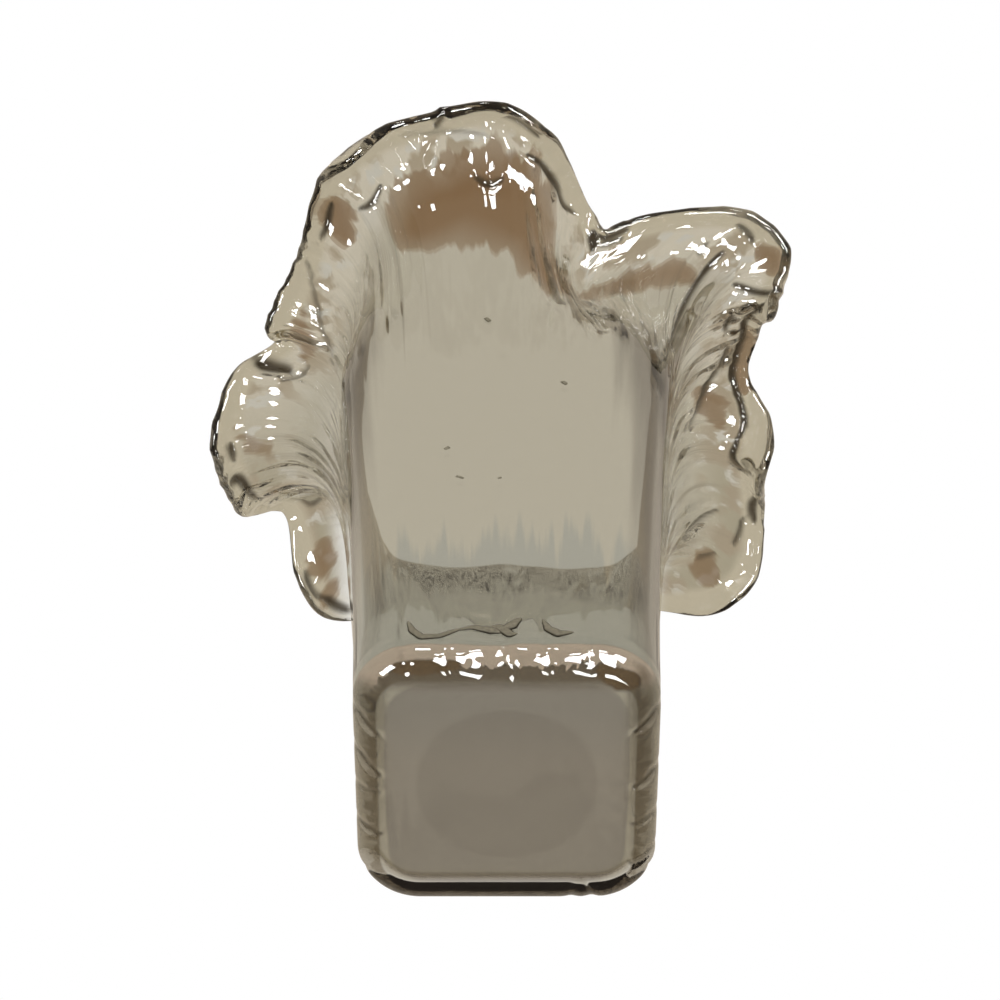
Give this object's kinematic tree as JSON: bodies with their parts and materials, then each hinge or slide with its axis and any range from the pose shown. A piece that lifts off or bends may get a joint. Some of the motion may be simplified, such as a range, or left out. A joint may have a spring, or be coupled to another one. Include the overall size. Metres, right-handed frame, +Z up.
{
  "type": "ruffled glass vase",
  "caption": "Blown smoky glass vase with a square body and a wide, ruffled, turned-over lip.",
  "frame": {"origin": "on the surface the vase stands on, under the middle of the box round its mouth, about 3 mm from the middle of its foot", "axes": "+Z up out of the mouth; -Y is the plain front, with the large front lobe of the lip; +X is the side of the pinched lobe"},
  "size_m": [0.245, 0.2572, 0.3105],
  "materials": {
    "smoked_glass": "gloss, fire-polished"
  },
  "bodies": {
    "root": {"vase": "smoked_glass"}
  },
  "joints": []
}
